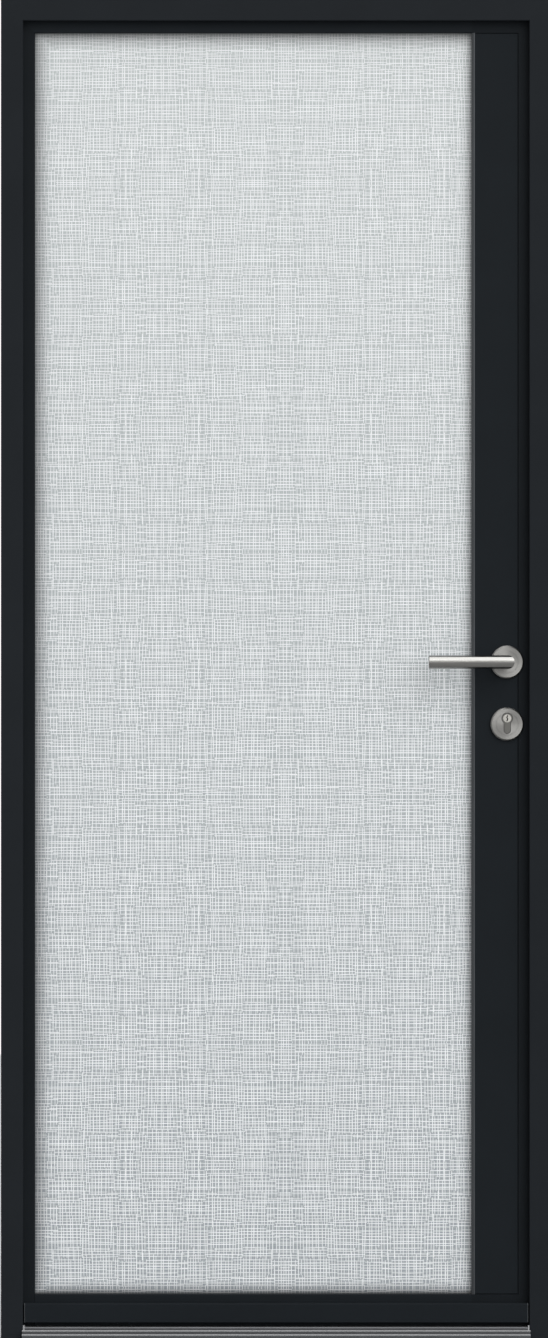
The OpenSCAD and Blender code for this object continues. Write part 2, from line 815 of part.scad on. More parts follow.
// Slots for the latch and the deadbolt through a plate between x0 and x1.
module bolt_slots(x0, x1) {
    span([x0, lock_y - latch_t / 2 - seat_play, lever_z - latch_h / 2 - seat_play],
         [x1, lock_y + latch_t / 2 + seat_play, lever_z + latch_h / 2 + seat_play]);
    span([x0, lock_y - deadbolt_t / 2 - seat_play, deadbolt_z - deadbolt_h / 2 - seat_play],
         [x1, lock_y + deadbolt_t / 2 + seat_play, deadbolt_z + deadbolt_h / 2 + seat_play]);
}

module lock_faceplate() {
    color(stainless) difference() {
        span([faceplate_x, lock_y - faceplate_w / 2 + run_play, faceplate_z0 + run_play],
             [leaf_half_w, lock_y + faceplate_w / 2 - run_play, faceplate_z1 - run_play]);
        bolt_slots(faceplate_x - cut, leaf_half_w + cut);
        for (z = [upper_bolt_z, lower_bolt_z])
            bar_x(lock_y, z, pin_bolt_d / 2 + seat_play, faceplate_x - cut, leaf_half_w + cut);
    }
}

// Closed steel box behind the faceplate, with the follower's bearings in its sides.
module lock_case() {
    color(zinc_steel) difference() {
        span([case_x0, lock_y - case_t / 2, case_z0], [faceplate_x, lock_y + case_t / 2, case_z1]);
        span([case_x0 + case_wall, lock_y - case_cavity_t / 2, case_z0 + case_wall],
             [faceplate_x - case_wall, lock_y + case_cavity_t / 2, case_z1 - case_wall]);
        bolt_slots(faceplate_x - case_wall - cut, faceplate_x + cut);
        bar_y(lever_x, lever_z, follower_d / 2 + run_play, lock_y - case_t, lock_y + case_t);
        along_y(lock_y - case_t, lock_y + case_t) profile_outline(profile_play);
    }
}

// Guide block for one locking pin behind the faceplate.
module bolt_case(z) {
    color(zinc_steel) difference() {
        span([faceplate_x - bolt_case_depth, lock_y - case_t / 2, z - bolt_case_h / 2],
             [faceplate_x, lock_y + case_t / 2, z + bolt_case_h / 2]);
        bar_x(lock_y, z, pin_bolt_d / 2 + run_play,
              faceplate_x - bolt_case_depth + case_wall, faceplate_x + cut);
    }
}

module upper_bolt_case() {
    bolt_case(upper_bolt_z);
}

module lower_bolt_case() {
    bolt_case(lower_bolt_z);
}

module latch_bolt() {
    latch_x0 = lever_x + follower_d / 2 + 2;
    bevel_l = 10;
    color(zinc_steel) translate([0, 0, lever_z - latch_h / 2]) linear_extrude(latch_h) polygon([
        [latch_x0, lock_y - latch_t / 2], [leaf_half_w - bevel_l, lock_y - latch_t / 2],
        [leaf_half_w, lock_y + latch_t / 4], [leaf_half_w, lock_y + latch_t / 2],
        [latch_x0, lock_y + latch_t / 2]
    ]);
}

module deadbolt() {
    bolt_l = 58;
    color(zinc_steel)
        span([leaf_half_w - bolt_l, lock_y - deadbolt_t / 2, deadbolt_z - deadbolt_h / 2],
             [leaf_half_w, lock_y + deadbolt_t / 2, deadbolt_z + deadbolt_h / 2]);
}

// One locking pin, with a bevelled nose, flush with the faceplate when withdrawn.
module pin_bolt(z) {
    pin_l = 46;
    nose = 1.5;
    color(zinc_steel) translate([leaf_half_w - pin_l, lock_y, z]) rotate([0, 90, 0]) union() {
        cylinder(r = pin_bolt_d / 2, h = pin_l - nose);
        translate([0, 0, pin_l - nose])
            cylinder(r1 = pin_bolt_d / 2, r2 = pin_bolt_d / 2 - nose, h = nose);
    }
}

module upper_bolt() {
    pin_bolt(upper_bolt_z);
}

module lower_bolt() {
    pin_bolt(lower_bolt_z);
}

// Cylinder

cylinder_y0 = leaf_y0 - rose_t - cylinder_proud;
cylinder_y1 = leaf_y1 + rose_t + cylinder_proud;

module cylinder_body() {
    color(lock_brass) difference() {
        along_y(cylinder_y0, cylinder_y1) profile_outline(0);
        bar_y(lever_x, cylinder_z, plug_r + run_play, cylinder_y0 - cut, cylinder_y1 + cut);
        span([lever_x - profile_r - cut, lock_y - cam_w / 2 - seat_play, cylinder_z - cam_r - 1],
             [lever_x + profile_r + cut, lock_y + cam_w / 2 + seat_play, cylinder_z + profile_r + cut]);
    }
}

keyway_depth = 24;

// Zigzag keyway in the face of a plug, in X and Z about the plug's axis.
module keyway_outline() {
    slot_w = 1.8;
    bend = [[0.6, 4.4], [-0.8, 1.6], [0.9, -1.2], [-0.6, -4.2]];
    for (i = [0 : len(bend) - 2]) hull() for (p = [bend[i], bend[i + 1]])
        translate([lever_x + p[0], cylinder_z + p[1]]) circle(d = slot_w, $fn = 16);
}

// The two turning plugs of the cylinder, outside and inside.
module cylinder_plugs() {
    gap = cam_w / 2 + seat_play;
    color(lock_brass) difference() {
        union() {
            bar_y(lever_x, cylinder_z, plug_r, cylinder_y0, lock_y - gap);
            bar_y(lever_x, cylinder_z, plug_r, lock_y + gap, cylinder_y1);
        }
        along_y(cylinder_y0 - cut, cylinder_y0 + keyway_depth) keyway_outline();
        along_y(cylinder_y1 - keyway_depth, cylinder_y1 + cut) keyway_outline();
    }
}

// The driver between the plugs, with the lug that throws the bolts.
module cylinder_cam() {
    lug_w = 7;
    color(zinc_steel) along_y(lock_y - cam_w / 2, lock_y + cam_w / 2) union() {
        translate([lever_x, cylinder_z]) circle(r = profile_r - 0.2);
        area([lever_x - cam_r, cylinder_z - lug_w / 2], [lever_x, cylinder_z + lug_w / 2]);
    }
}

// Furniture

// Section of a rose: radius and height above the leaf, with a turned ring and a bevelled rim.
module rose_section(bore_r) {
    ring_r = rose_ring_d / 2;
    rim = 2;
    low = rose_t - rose_ring_step;
    polygon([
        [bore_r, 0], [rose_d / 2, 0], [rose_d / 2, low - rim], [rose_d / 2 - rim, low],
        [ring_r + 0.8, low], [ring_r + 0.8, low - 0.6], [ring_r, low - 0.6], [ring_r, rose_t - 0.4],
        [ring_r - 0.4, rose_t], [bore_r, rose_t]
    ]);
}

// Places a piece that stands on the leaf's outer face, built upwards from Z 0.
module on_outer_face(x, z) {
    translate([x, leaf_y0, z]) rotate([90, 0, 0]) children();
}

// Copies a piece from the outer face to the inner face of the leaf.
module to_inner_face() {
    translate([0, 2 * lock_y, 0]) mirror([0, 1, 0]) children();
}

lever_run = 0.1;

module lever_rose() {
    color(stainless) on_outer_face(lever_x, lever_z) rotate_extrude()
        rose_section(lever_d / 2 + lever_run);
}

module key_rose() {
    color(stainless) difference() {
        on_outer_face(lever_x, key_rose_z) rotate_extrude() rose_section(0);
        along_y(leaf_y0 - rose_t - cut, leaf_y0 + cut) profile_outline(rose_play);
    }
}

module outer_lever_rose() {
    lever_rose();
}

module inner_lever_rose() {
    to_inner_face() lever_rose();
}

module outer_key_rose() {
    key_rose();
}

module inner_key_rose() {
    to_inner_face() key_rose();
}

socket_depth = 25;
lever_foot_y = leaf_y0 - 0.5;
lever_axis_y = leaf_y0 - lever_reach;

// A lever of round bar: a neck out of the rose, mitred to a level grip.
// The mitred corner is what the two bars share past each other's axis.
module lever() {
    r = lever_d / 2;
    a = spindle_a / 2 + run_play;
    end_bevel = 0.8;
    color(stainless) difference() {
        union() {
            bar_y(lever_x, lever_z, r, lever_axis_y, lever_foot_y);
            bar_x(lever_axis_y, lever_z, r, lever_x - lever_len + end_bevel, lever_x);
            translate([lever_x - lever_len, lever_axis_y, lever_z]) rotate([0, 90, 0])
                cylinder(r1 = r - end_bevel, r2 = r, h = end_bevel);
            intersection() {
                bar_y(lever_x, lever_z, r, lever_axis_y - lever_d, lever_axis_y);
                bar_x(lever_axis_y, lever_z, r, lever_x, lever_x + lever_d);
            }
        }
        span([lever_x - a, lever_foot_y - socket_depth, lever_z - a],
             [lever_x + a, lever_foot_y + cut, lever_z + a]);
    }
}

module outer_lever() {
    lever();
}

module inner_lever() {
    to_inner_face() lever();
}

module spindle() {
    a = spindle_a / 2;
    end = lever_foot_y - socket_depth + 1;
    color(zinc_steel)
        span([lever_x - a, end, lever_z - a], [lever_x + a, 2 * lock_y - end, lever_z + a]);
}

// The turning nut in the lock case that the spindle drives.
module follower() {
    a = spindle_a / 2 + run_play;
    color(zinc_steel) difference() {
        bar_y(lever_x, lever_z, follower_d / 2, lock_y - case_t / 2, lock_y + case_t / 2);
        span([lever_x - a, lock_y - case_t, lever_z - a], [lever_x + a, lock_y + case_t, lever_z + a]);
    }
}

// Hinges by place

module top_hinge_frame_half() {
    hinge_frame_half(hinge_z_high);
}

module middle_hinge_frame_half() {
    hinge_frame_half(hinge_z_mid);
}

module bottom_hinge_frame_half() {
    hinge_frame_half(hinge_z_low);
}

module top_hinge_pin() {
    hinge_pin(hinge_z_high);
}

module middle_hinge_pin() {
    hinge_pin(hinge_z_mid);
}

module bottom_hinge_pin() {
    hinge_pin(hinge_z_low);
}

module top_hinge_leaf_half() {
    hinge_leaf_half(hinge_z_high);
}

module middle_hinge_leaf_half() {
    hinge_leaf_half(hinge_z_mid);
}

module bottom_hinge_leaf_half() {
    hinge_leaf_half(hinge_z_low);
}

hinge_jamb();
lock_jamb();
head();
threshold();
threshold_caps();
sill_seal();
hinge_jamb_seal();
lock_jamb_seal();
head_seal();
strike_plate();
upper_keep();
lower_keep();
top_hinge_frame_half();
middle_hinge_frame_half();
bottom_hinge_frame_half();
top_hinge_pin();
middle_hinge_pin();
bottom_hinge_pin();
hinge_stile();
lock_stile();
top_rail();
bottom_rail();
weather_bar();
bottom_seal();
outer_pane();
spacer_bar();
inner_pane();
setting_blocks();
outer_glazing_seal();
inner_glazing_seal();
hinge_side_bead();
lock_side_bead();
top_bead();
bottom_bead();
glass_edge_trim();
outer_lock_panel();
inner_lock_panel();
lock_faceplate();
lock_case();
upper_bolt_case();
lower_bolt_case();
cylinder_body();
outer_lever_rose();
inner_lever_rose();
outer_key_rose();
inner_key_rose();
top_hinge_leaf_half();
middle_hinge_leaf_half();
bottom_hinge_leaf_half();
outer_lever();
inner_lever();
spindle();
follower();
cylinder_plugs();
cylinder_cam();
latch_bolt();
deadbolt();
upper_bolt();
lower_bolt();
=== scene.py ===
"""Looks of the exterior door: finishes, the threads of the glass, small fittings, light and camera."""

import json
import math
import random

import bmesh
import bpy
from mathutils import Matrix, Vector


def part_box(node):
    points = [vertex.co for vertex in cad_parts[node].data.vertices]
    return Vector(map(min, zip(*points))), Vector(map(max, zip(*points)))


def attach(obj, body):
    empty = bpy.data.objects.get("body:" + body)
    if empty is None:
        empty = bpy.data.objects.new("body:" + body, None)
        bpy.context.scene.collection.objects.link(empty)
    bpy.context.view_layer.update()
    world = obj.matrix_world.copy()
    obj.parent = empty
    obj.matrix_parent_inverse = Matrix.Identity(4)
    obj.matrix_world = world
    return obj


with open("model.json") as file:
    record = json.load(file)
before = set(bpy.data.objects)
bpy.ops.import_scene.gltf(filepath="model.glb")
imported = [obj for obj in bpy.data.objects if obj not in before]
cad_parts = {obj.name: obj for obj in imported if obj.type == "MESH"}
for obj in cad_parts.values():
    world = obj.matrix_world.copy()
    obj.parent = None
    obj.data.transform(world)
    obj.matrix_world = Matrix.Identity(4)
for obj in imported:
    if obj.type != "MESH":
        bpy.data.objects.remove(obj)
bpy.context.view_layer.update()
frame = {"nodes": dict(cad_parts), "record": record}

MM = 0.001
WHITE = (1.0, 1.0, 1.0, 1.0)
scene = bpy.context.scene

# Materials


def srgb(r, g, b):
    """A colour given as 0-255 screen values, as linear values with alpha."""
    def linear(v):
        v /= 255
        return v / 12.92 if v <= 0.04045 else ((v + 0.055) / 1.055) ** 2.4
    return (linear(r), linear(g), linear(b), 1.0)


def scaled(colour, factor):
    """A colour made darker or lighter, with full alpha."""
    return tuple(c * factor for c in colour[:3]) + (1.0,)


class Shader:
    """A small helper that builds one Principled material from procedural nodes."""

    def __init__(self, name):
        self.material = bpy.data.materials.new(name)
        self.material.use_nodes = True
        self.tree = self.material.node_tree
        self.bsdf = self.tree.nodes["Principled BSDF"]
        self.place = self.add("ShaderNodeTexCoord").outputs["Object"]

    def add(self, kind, **values):
        """A new node of a kind, with its settings."""
        node = self.tree.nodes.new(kind)
        for key, value in values.items():
            setattr(node, key, value)
        return node

    def link(self, source, target):
        """Leads an output to an input."""
        self.tree.links.new(source, target)

    def set(self, **values):
        """Constant values on the shader's own sockets, with _ for a space in a socket's name."""
        for key, value in values.items():
            self.bsdf.inputs[key.replace("_", " ")].default_value = value

    def colour(self, source):
        """Leads a colour to the surface."""
        self.link(source, self.bsdf.inputs["Base Color"])

    def roughness(self, source, low, high):
        """A roughness from low to high, as a value goes from 0 to 1."""
        self.link(self.ranged(source, 0.0, 1.0, low, high), self.bsdf.inputs["Roughness"])

    def bump(self, height, strength, distance):
        """A relief from a height of 0 to 1, which stands for a distance in metres."""
        node = self.add("ShaderNodeBump")
        node.inputs["Strength"].default_value = strength
        node.inputs["Distance"].default_value = distance
        self.link(height, node.inputs["Height"])
        self.link(node.outputs["Normal"], self.bsdf.inputs["Normal"])

    def mapped(self, setting, value):
        """Object coordinates with a Location added to them, or multiplied by a Scale."""
        mapping = self.add("ShaderNodeMapping")
        mapping.inputs[setting].default_value = value
        self.link(self.place, mapping.inputs["Vector"])
        return mapping.outputs["Vector"]

    def noise(self, scale, detail=4.0, stretch=(1, 1, 1)):
        """Noise whose grains are about 1 / scale metres across."""
        node = self.add("ShaderNodeTexNoise")
        node.inputs["Scale"].default_value = scale
        node.inputs["Detail"].default_value = detail
        self.link(self.mapped("Scale", stretch), node.inputs["Vector"])
        return node.outputs["Fac"]

    def ramp(self, source, stops):
        """Colours blended along a value: stops are (place, colour)."""
        node = self.add("ShaderNodeValToRGB")
        elements = node.color_ramp.elements
        while len(elements) < len(stops):
            elements.new(0.5)
        for element, (place, colour) in zip(elements, stops):
            element.position = place
            element.color = colour
        self.link(source, node.inputs["Fac"])
        return node.outputs["Color"]

    def tint(self, source, colour, dark, light, span=(0.3, 0.7)):
        """A colour times dark to light, as a value goes through a span."""
        return self.ramp(source, [(span[0], scaled(colour, dark)), (span[1], scaled(colour, light))])

    def part(self, vector, letter):
        """One coordinate of a vector."""
        split = self.add("ShaderNodeSeparateXYZ")
        self.link(vector, split.inputs["Vector"])
        return split.outputs[letter]

    def ranged(self, source, start, end, low=0.0, high=1.0):
        """A value from start to end turned into one from low to high, and held there beyond."""
        node = self.add("ShaderNodeMapRange")
        for key, value in (("From Min", start), ("From Max", end), ("To Min", low), ("To Max", high)):
            node.inputs[key].default_value = value
        self.link(source, node.inputs["Value"])
        return node.outputs["Result"]

    def least(self, a, b):
        """The smaller of two values."""
        node = self.add("ShaderNodeMath", operation="MINIMUM")
        self.link(a, node.inputs[0])
        self.link(b, node.inputs[1])
        return node.outputs[0]

    def times(self, a, b):
        """Two colours, or a colour and a value, multiplied."""
        node = self.add("ShaderNodeMix", data_type="RGBA", blend_type="MULTIPLY")
        node.inputs["Factor"].default_value = 1.0
        self.link(a, node.inputs["A"])
        self.link(b, node.inputs["B"])
        return node.outputs["Result"]


PAINT_SHEEN = 0.06


def powder_coat(name, colour):
    """Dark paint with a fine grain and faint clouds."""
    shader = Shader(name)
    cloud = shader.noise(scale=9.0)
    shader.colour(shader.tint(cloud, colour, dark=0.93, light=1.07))
    grain = shader.noise(scale=2600.0, detail=2.0)
    shader.roughness(grain, low=0.5, high=0.66)
    shader.bump(grain, strength=0.25, distance=0.08 * MM)
    shader.set(Specular_IOR_Level=PAINT_SHEEN)
    return shader.material


# Streaks of brushed metal. A small factor on an axis draws them out along that axis.
STREAK_SCALE = 900.0
STREAK_DEPTH = 0.02 * MM
STREAK_ROUGHNESS = 0.06
STREAK_SPAN = (0.25, 0.75)
ALONG_X = (0.02, 1, 1)
ALONG_Z = (1, 1, 0.02)
ALONG_X_AND_Y = (0.02, 0.02, 1)


def streaked(shader, roughness, stretch):
    """Makes a shader a metal with streaks in its roughness and relief, and returns the streaks."""
    streaks = shader.noise(STREAK_SCALE, detail=3.0, stretch=stretch)
    shader.roughness(streaks, roughness - STREAK_ROUGHNESS, roughness + STREAK_ROUGHNESS)
    shader.bump(streaks, strength=0.35, distance=STREAK_DEPTH)
    shader.set(Metallic=1.0)
    return streaks


def brushed_metal(name, colour, roughness, stretch):
    """Metal with fine streaks in its colour too."""
    shader = Shader(name)
    streaks = streaked(shader, roughness, stretch)
    shader.colour(shader.tint(streaks, colour, dark=0.86, light=1.14, span=STREAK_SPAN))
    return shader.material


# Bands of the sill, below its bevels, made paler as painted highlights: lowest and highest place, and
# gain.
# Places on the sill are heights in millimetres, and every band fades out over its edge.
HIGHLIGHT_BANDS = [(13.7, 14.9, 1.7), (25.6, 27.4, 2.6)]
HIGHLIGHT_BAND_EDGE = 0.1
HIGHLIGHT_BAND_TOP = 30.0
SILL_ROUGHNESS = 0.32
SILL_TREAD_GAIN = 2.0

# The upward share of the normal on the sill's upright faces, its bevels and its treads, which sets their
# painted light.
UPRIGHT = 0.3
BEVEL = (0.6, 0.8)
LEVEL = 0.95


def highlit_sill(name, colour, bevel_highlight):
    """Dark anodised aluminium with painted light: its bevels, which face up and forwards, and its treads
    are made paler, as highlights.
    """
    shader = Shader(name)
    streaks = streaked(shader, SILL_ROUGHNESS, ALONG_X)
    normal = shader.add("ShaderNodeNewGeometry").outputs["True Normal"]
    tread = scaled(colour, SILL_TREAD_GAIN)
    # Painted highlight: the further a face looks upwards, the paler it is made.
    facing_highlight = shader.ramp(shader.part(normal, "Z"), [(UPRIGHT, colour), (BEVEL[0], bevel_highlight), (BEVEL[1], bevel_highlight),
                                                  (LEVEL, tread)])
    # Painted highlights in bands below the bevels.
    stops = [(0.0, 1.0)]
    for low, high, gain in HIGHLIGHT_BANDS:
        stops += [(low - HIGHLIGHT_BAND_EDGE, 1.0), (low, gain), (high, gain), (high + HIGHLIGHT_BAND_EDGE, 1.0)]
    height = shader.ranged(shader.part(shader.place, "Z"), 0.0, HIGHLIGHT_BAND_TOP * MM)
    band_highlight = shader.ramp(height, [(z / HIGHLIGHT_BAND_TOP, scaled(WHITE, gain)) for z, gain in stops])
    grain = shader.tint(streaks, WHITE, dark=0.86, light=1.0, span=STREAK_SPAN)
    shader.colour(shader.times(shader.times(facing_highlight, band_highlight), grain))
    return shader.material


# The wave texture's scale at which its rings lie about 1 mm apart.
RING_SCALE = 320.0
RING_ROUGHNESS = 0.04


def turned_metal(name, colour, roughness, centre):
    """Metal with fine rings about an axis along Y through a centre, and the fanned sheen they give."""
    shader = Shader(name)
    wave = shader.add("ShaderNodeTexWave", wave_type="RINGS", rings_direction="Y")
    wave.inputs["Scale"].default_value = RING_SCALE
    wave.inputs["Distortion"].default_value = 0.6
    wave.inputs["Detail"].default_value = 3.0
    shader.link(shader.mapped("Location", -centre), wave.inputs["Vector"])
    rings = wave.outputs["Fac"]
    shader.colour(shader.tint(rings, colour, dark=0.97, light=1.03, span=(0.1, 0.9)))
    shader.roughness(rings, roughness - RING_ROUGHNESS, roughness + RING_ROUGHNESS)
    shader.bump(rings, strength=0.12, distance=0.02 * MM)
    tangent = shader.add("ShaderNodeTangent", direction_type="RADIAL", axis="Y")
    shader.link(tangent.outputs["Tangent"], shader.bsdf.inputs["Tangent"])
    shader.set(Metallic=1.0, Anisotropic=0.75)
    return shader.material


def rubber(name, colour):
    """Matt black rubber with a cloudy skin."""
    shader = Shader(name)
    cloud = shader.noise(scale=300.0)
    shader.colour(shader.tint(cloud, colour, dark=0.8, light=1.25))
    shader.roughness(cloud, low=0.65, high=0.85)
    shader.bump(cloud, strength=0.3, distance=0.1 * MM)
    shader.set(Specular_IOR_Level=0.25)
    return shader.material


# The sight area is what the bead and the trim leave free of the patterned pane, less a thin edge.
EDGE_CLEAR = 0.4 * MM
sight_x = (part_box("hinge_side_bead")[1].x + EDGE_CLEAR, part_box("glass_edge_trim")[0].x - EDGE_CLEAR)
sight_z = (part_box("glass_edge_trim")[0].z + EDGE_CLEAR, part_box("glass_edge_trim")[1].z - EDGE_CLEAR)

# Each rim of the sight area, darkened by painted shade that stands for the shadow of the recess: axis,
# place, reach of the painted shade in millimetres, and what is left there.
SHADE_RIMS = [("X", sight_x[0], 24, 0.4), ("X", sight_x[1], -20, 0.9), ("Z", sight_z[1], -26, 0.5),
        ("Z", sight_z[0], 20, 0.5), ("Z", sight_z[0], 12, 0.1)]
PRINT_SHEEN = 0.3


def painted_rim_shade(shader):
    """Painted shade, which falls below 1 towards the rim of the sight area, for the shadow of the recess
    around the pane.
    """
    painted_shade = None
    for letter, rim, reach, dim in SHADE_RIMS:
        fall = shader.ranged(shader.part(shader.place, letter), rim, rim + reach * MM, dim, 1.0)
        painted_shade = fall if painted_shade is None else shader.least(painted_shade, fall)
    return painted_shade


def frosted_ground(name, shaded_foot_colour, lit_head_colour):
    """The ground of the patterned pane, with painted light: it pales from its foot to its head, as if it
    reflected a brighter sky higher up.
    """
    shader = Shader(name)
    height = shader.ranged(shader.part(shader.place, "Z"), sight_z[0], sight_z[1])
    # Painted light: darker at the foot, paler at the head.
    tone = shader.ramp(height, [(0.0, shaded_foot_colour), (1.0, lit_head_colour)])
    frost = shader.noise(scale=700.0, detail=3.0)
    shade = shader.tint(frost, WHITE, dark=0.95, light=1.0)
    # Painted shade darkens the ground towards the rim of the sight area.
    shader.colour(shader.times(shader.times(tone, shade), painted_rim_shade(shader)))
    shader.roughness(frost, low=0.32, high=0.46)
    shader.bump(frost, strength=0.04, distance=0.04 * MM)
    shader.set(Specular_IOR_Level=PRINT_SHEEN)
    return shader.material


def enamel(name, colour):
    """The white ceramic print of the threads, stronger on some strokes than on others, with painted shade
    towards the rim of the sight area.
    """
    shader = Shader(name)
    cloud = shader.noise(scale=240.0, detail=3.0)
    shade = shader.tint(cloud, WHITE, dark=0.95, light=1.0)
    stroke = shader.add("ShaderNodeNewGeometry").outputs["Random Per Island"]
    tone = shader.tint(stroke, colour, dark=0.88, light=1.0, span=(0.0, 1.0))
    # Painted shade darkens the print towards the rim of the sight area.
    shader.colour(shader.times(shader.times(tone, shade), painted_rim_shade(shader)))
    shader.roughness(cloud, low=0.4, high=0.55)
    shader.set(Specular_IOR_Level=PRINT_SHEEN)
    return shader.material


def clear_glass(name, colour):
    """A polished, mostly clear pane with slow waves in it."""
    shader = Shader(name)
    waves = shader.noise(scale=3.0, detail=1.0)
    shader.colour(shader.tint(waves, colour, dark=0.96, light=1.0))
    shader.roughness(waves, low=0.03, high=0.06)
    shader.bump(waves, strength=0.05, distance=0.2 * MM)
    shader.set(Alpha=0.22, Specular_IOR_Level=0.5)
    return shader.material


def middle(node):
    """The middle of a node's box at rest."""
    low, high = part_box(node)
    return (low + high) / 2


PAINT = (0.0116, 0.014, 0.0168, 1)
# The leaf's paint is darker than the frame's: painted shade, for the leaf lying back in the frame's
# recess.
SHADED_LEAF_PAINT = (0.0087, 0.0113, 0.0139, 1)
# The stiles are darker still: painted shade, for the shade near the frame's jambs.
STILE_PAINTED_SHADE = 0.8
STEEL = (0.272, 0.269, 0.258, 1)
ROSE_SHADE = 0.9

# One look for each material slot of the record.
looks = {
    "anthracite_paint": powder_coat("anthracite_paint", PAINT),
    "mill_aluminium": brushed_metal("mill_aluminium", (0.30, 0.305, 0.315, 1), 0.4, ALONG_X),
    "seal_rubber": rubber("seal_rubber", (0.006, 0.006, 0.007, 1)),
    # The patterned pane's ground is paler towards its head by painted light.
    "pattern_glass": frosted_ground("pattern_glass", srgb(157, 164, 169), srgb(190, 196, 197)),
    "clear_glass": clear_glass("clear_glass", (0.72, 0.76, 0.77, 1)),
    "stainless": brushed_metal("stainless", STEEL, 0.17, ALONG_X_AND_Y),
    "zinc_steel": brushed_metal("zinc_steel", (0.42, 0.43, 0.45, 1), 0.36, ALONG_Z),
    "nickel_brass": brushed_metal("nickel_brass", (0.46, 0.45, 0.42, 1), 0.26, ALONG_Z),
}
thread_white = enamel("thread_white", srgb(246, 248, 250))
# The soft strokes carry the same painted light from foot to head, and the painted shade at the rim.
thread_soft = frosted_ground("thread_soft", srgb(175, 181, 185), srgb(201, 206, 206))
shaded_leaf_paint = powder_coat("shaded_leaf_paint", SHADED_LEAF_PAINT)
shaded_stile_paint = powder_coat("shaded_stile_paint", scaled(SHADED_LEAF_PAINT, STILE_PAINTED_SHADE))

# Nodes whose finish differs from the rest of their slot.
own_looks = {
    # The stiles take painted shade, darker than the rest of the leaf.
    "hinge_stile": shaded_stile_paint,
    "lock_stile": shaded_stile_paint,
    "lock_faceplate": brushed_metal("faceplate_steel", STEEL, 0.3, ALONG_Z),
    "glass_edge_trim": brushed_metal("trim_metal", (0.07, 0.075, 0.08, 1), 0.42, ALONG_Z),
    "cylinder_body": brushed_metal("cylinder_nickel", (0.13, 0.128, 0.12, 1), 0.3, ALONG_Z),
    # The sill carries painted highlights on its bevels, treads and bands.
    "threshold": highlit_sill("sill_aluminium", (0.088, 0.09, 0.095, 1), (0.2, 0.202, 0.206, 1)),
}
for kind in ("lever", "key"):
    rose_steel = scaled(STEEL, ROSE_SHADE)
    turned = turned_metal(f"turned_{kind}_rose", rose_steel, 0.3, middle(f"outer_{kind}_rose"))
    for side in ("outer", "inner"):
        own_looks[f"{side}_{kind}_rose"] = turned

leaf_nodes = frame["record"]["behaviour"]["bodies"]["leaf"]
for part in frame["record"]["subparts"]:
    node = part["node"]
    slot = part["material_slot"]
    if node in own_looks:
        look = own_looks[node]
    # Leaf nodes in the anthracite paint take the darker paint, as painted shade.
    elif slot == "anthracite_paint" and node in leaf_nodes:
        look = shaded_leaf_paint
    else:
        look = looks[slot]
    mesh = frame["nodes"][node].data
    mesh.materials.clear()
    mesh.materials.append(look)

# Mesh pieces


def add_piece(name, points, faces, material, body):
    """A mesh in the row frame that rides on a CAD body."""
    mesh = bpy.data.meshes.new(name)
    mesh.from_pydata(points, [], faces)
    mesh.materials.append(material)
    piece = bpy.data.objects.new(name, mesh)
    scene.collection.objects.link(piece)
    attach(piece, body)
    return piece


# Threads of the glass: one square tile of strokes, in even lanes along both directions, laid over the
# pane with every second tile mirrored. Soft strokes, paler than the ground, lie under bold white ones.

# A tile's size, and the corner of one tile in the photograph.
TILE = 201 * MM
TILE_X0 = 14.3 * MM
TILE_Z0 = 1899 * MM

# The lanes of a tile, and how far each strays from its place, as a share of the pitch.
LANES = 39
PITCH = TILE / LANES
LANE_JITTER = 0.26

# The lanes' slide from one stroke to the next, as a share of the pitch. It dies out near the tile's seam.
SLIDE_STEP = 0.382
SEAM = 8 * MM

# A stroke's length, how far its ends stray, its lean, and the width of its ends as a share of its middle.
STROKE_LENGTH = (32 * MM, 58 * MM)
RAGGED = 13 * MM
STROKE_LEAN = 0.012
STROKE_TAPER = 0.6

# Height above the pane, rise of the middle line, and range of half the width.
BOLD_LIFT = 0.12 * MM
BOLD_CROWN = 0.14 * MM
BOLD_HALF = (0.62 * MM, 0.86 * MM)
SOFT_LIFT = 0.03 * MM
SOFT_CROWN = 0.03 * MM
SOFT_HALF = (0.7 * MM, 1.1 * MM)

# A ribbon's section, as shares of half its width and of its crown.
RIBBON_SECTION = [(-1, 0), (0, 1), (1, 0)]
RIM_MARGIN = 1 * MM
THREAD_SEED = 41

pane_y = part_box("outer_pane")[0].y


def draw_strokes(rng, half_range):
    """Strokes of one tile as lists of (across, along, half width), both from 0 to TILE.

    Every lane is a chain of strokes, so that the cover stays even. All the lanes slide sideways by the
    same share of the pitch from one stroke to the next, at ragged places, so that no line runs far.
    """
    cuts = [-2 * RAGGED]
    while cuts[-1] < TILE + 2 * RAGGED:
        cuts.append(cuts[-1] + rng.uniform(*STROKE_LENGTH))
    first_slide = rng.random()
    slides = [((first_slide + k * SLIDE_STEP) % 1.0 - 0.5) * PITCH for k in range(len(cuts))]
    strokes = []
    for lane in range(LANES):
        place = (lane + 0.5 + rng.uniform(-LANE_JITTER, LANE_JITTER)) * PITCH
        seam_share = min(1.0, min(place, TILE - place) / SEAM)
        ends = [cut + rng.uniform(-RAGGED, RAGGED) for cut in cuts]
        for slide, start, end in zip(slides, ends, ends[1:]):
            across = place + slide * seam_share
            lean = rng.gauss(0, STROKE_LEAN) * (end - start)
            half = rng.uniform(*half_range)
            strokes.append([(across - lean / 2, start, STROKE_TAPER * half),
                            (across, (start + end) / 2, half),
                            (across + lean / 2, end, STROKE_TAPER * half)])
    return strokes


def tile_numbers(sight, start):
    """The numbers of the tiles that cover a stretch, where tile 0 begins at start."""
    return range(math.floor((sight[0] - start) / TILE), math.ceil((sight[1] - start) / TILE))


